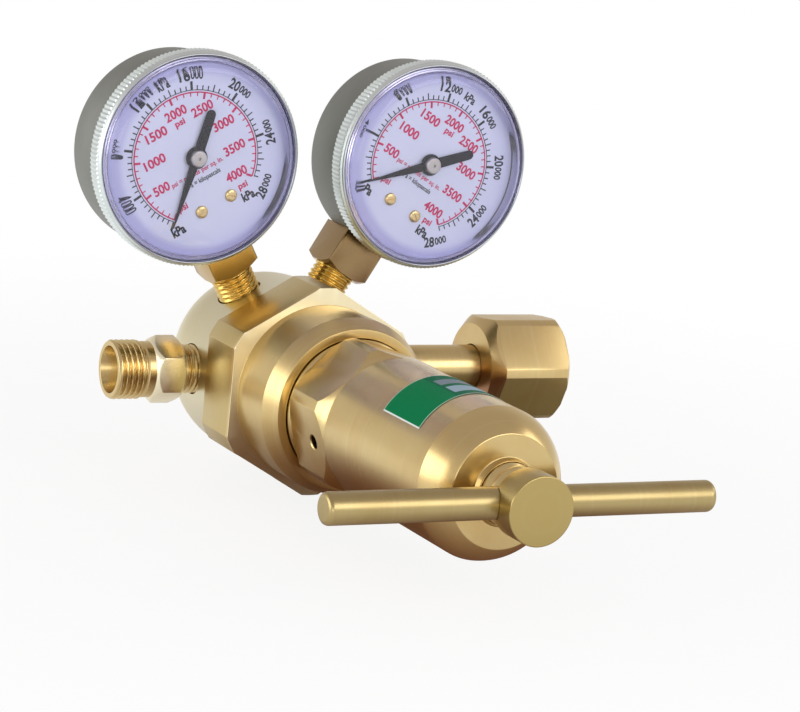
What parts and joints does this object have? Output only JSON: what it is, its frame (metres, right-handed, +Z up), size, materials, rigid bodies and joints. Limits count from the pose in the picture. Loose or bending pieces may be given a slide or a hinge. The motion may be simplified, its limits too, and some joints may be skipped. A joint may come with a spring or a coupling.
{
  "type": "gas pressure regulator",
  "caption": "High-pressure gas cylinder regulator: domed body with two dial gauges, long spring housing, T-handle, threaded outlet and hexagonal inlet nut.",
  "frame": {"origin": "centre of the inlet nut's mouth, on the axis of the inlet nipple", "axes": "+X out of the inlet nut's mouth towards the cylinder valve, -X towards the outlet, -Y along the spring housing to the T-handle and out of the gauge faces, +Z up, between the two gauges"},
  "size_m": [0.1748, 0.2097, 0.1367],
  "materials": {
    "body_brass": "satin",
    "thread_brass": "polished",
    "movement_brass": "satin",
    "steel": "brushed",
    "spring_steel": "satin",
    "case_metal": "satin",
    "bezel_metal": "knurled",
    "clear_lens": "clear",
    "seal_rubber": "matte",
    "dial_white": "printed",
    "pointer_black": "matte",
    "label_green": "printed",
    "seat_plastic": "matte",
    "filter_bronze": "sintered"
  },
  "bodies": {
    "regulator": {"body": "body_brass", "bonnet": "body_brass", "piston_sleeve": "body_brass", "nozzle": "body_brass", "valve_spring": "spring_steel", "main_spring": "spring_steel", "inlet_nipple": "body_brass", "inlet_filter": "filter_bronze", "outlet_fitting": "thread_brass", "label": "label_green", "gauge_socket_left": "thread_brass", "gauge_case_left": "case_metal", "bezel_left": "bezel_metal", "lens_left": "clear_lens", "lens_gasket_left": "seal_rubber", "dial_left": "dial_white", "dial_screw_1_left": "thread_brass", "dial_screw_2_left": "thread_brass", "movement_frame_left": "movement_brass", "bourdon_tube_left": "movement_brass", "gauge_socket_right": "thread_brass", "gauge_case_right": "case_metal", "bezel_right": "bezel_metal", "lens_right": "clear_lens", "lens_gasket_right": "seal_rubber", "dial_right": "dial_white", "dial_screw_1_right": "thread_brass", "dial_screw_2_right": "thread_brass", "movement_frame_right": "movement_brass", "bourdon_tube_right": "movement_brass"},
    "spring_carriage": {"spring_button": "body_brass"},
    "handle": {"adjusting_screw": "body_brass", "t_bar": "body_brass"},
    "valve_group": {"piston": "steel", "piston_seal": "seal_rubber", "valve_poppet": "steel", "valve_seat": "seat_plastic"},
    "nut": {"inlet_nut": "body_brass"},
    "pointer_group_left": {"pointer_left": "pointer_black", "pointer_cap_left": "steel", "pinion_left": "movement_brass"},
    "sector_left": {"sector_gear_left": "movement_brass"},
    "link_left": {"link_left": "movement_brass"},
    "pointer_group_right": {"pointer_right": "pointer_black", "pointer_cap_right": "steel", "pinion_right": "movement_brass"},
    "sector_right": {"sector_gear_right": "movement_brass"},
    "link_right": {"link_right": "movement_brass"}
  },
  "joints": [
    {"name": "screw_advance", "type": "slide", "parent": "regulator", "child": "spring_carriage", "axis": [0, 1, 0], "range_m": [-0.008, 0.00333], "deforming": ["main_spring"]},
    {"name": "handle_turn", "type": "hinge", "parent": "spring_carriage", "child": "handle", "pos_m": [-0.101, -0.1653, 0], "axis": [0, 1, 0], "range_deg": [-720, 300]},
    {"name": "valve_travel", "type": "slide", "parent": "regulator", "child": "valve_group", "axis": [0, 1, 0], "range_m": [0, 0.0008], "stiffness_N_per_m": 500, "springref_m": -0.002, "deforming": ["valve_spring"]},
    {"name": "nut_spin", "type": "hinge", "parent": "regulator", "child": "nut", "pos_m": [-0.013, 0, 0], "axis": [1, 0, 0], "continuous": true},
    {"name": "pointer_turn_left", "type": "hinge", "parent": "regulator", "child": "pointer_group_left", "pos_m": [-0.1415, -0.0173, 0.07015], "axis": [0, 1, 0], "range_deg": [0, 270], "stiffness_Nm_per_rad": 0.001, "springref_deg": -11.46},
    {"name": "sector_turn_left", "type": "hinge", "parent": "regulator", "child": "sector_left", "pos_m": [-0.1386, -0.0069, 0.05912], "axis": [0, 1, 0], "range_deg": [-54, 0]},
    {"name": "link_turn_left", "type": "hinge", "parent": "sector_left", "child": "link_left", "pos_m": [-0.13361, -0.0063, 0.05938], "axis": [0, 1, 0], "range_deg": [0, 54]},
    {"name": "pointer_turn_right", "type": "hinge", "parent": "regulator", "child": "pointer_group_right", "pos_m": [-0.0605, -0.0173, 0.07015], "axis": [0, 1, 0], "range_deg": [0, 270], "stiffness_Nm_per_rad": 0.001, "springref_deg": -11.46},
    {"name": "sector_turn_right", "type": "hinge", "parent": "regulator", "child": "sector_right", "pos_m": [-0.0686, -0.0069, 0.06212], "axis": [0, 1, 0], "range_deg": [-54, 0]},
    {"name": "link_turn_right", "type": "hinge", "parent": "sector_right", "child": "link_right", "pos_m": [-0.06588, -0.0063, 0.05793], "axis": [0, 1, 0], "range_deg": [0, 54]}
  ],
  "couplings": [
    {"joint": "screw_advance", "follows": "handle_turn", "m_per_rad": 0.00063662},
    {"joint": "sector_turn_left", "follows": "pointer_turn_left", "ratio": -0.2},
    {"joint": "link_turn_left", "follows": "pointer_turn_left", "ratio": 0.2},
    {"joint": "sector_turn_right", "follows": "pointer_turn_right", "ratio": -0.2},
    {"joint": "link_turn_right", "follows": "pointer_turn_right", "ratio": 0.2}
  ]
}
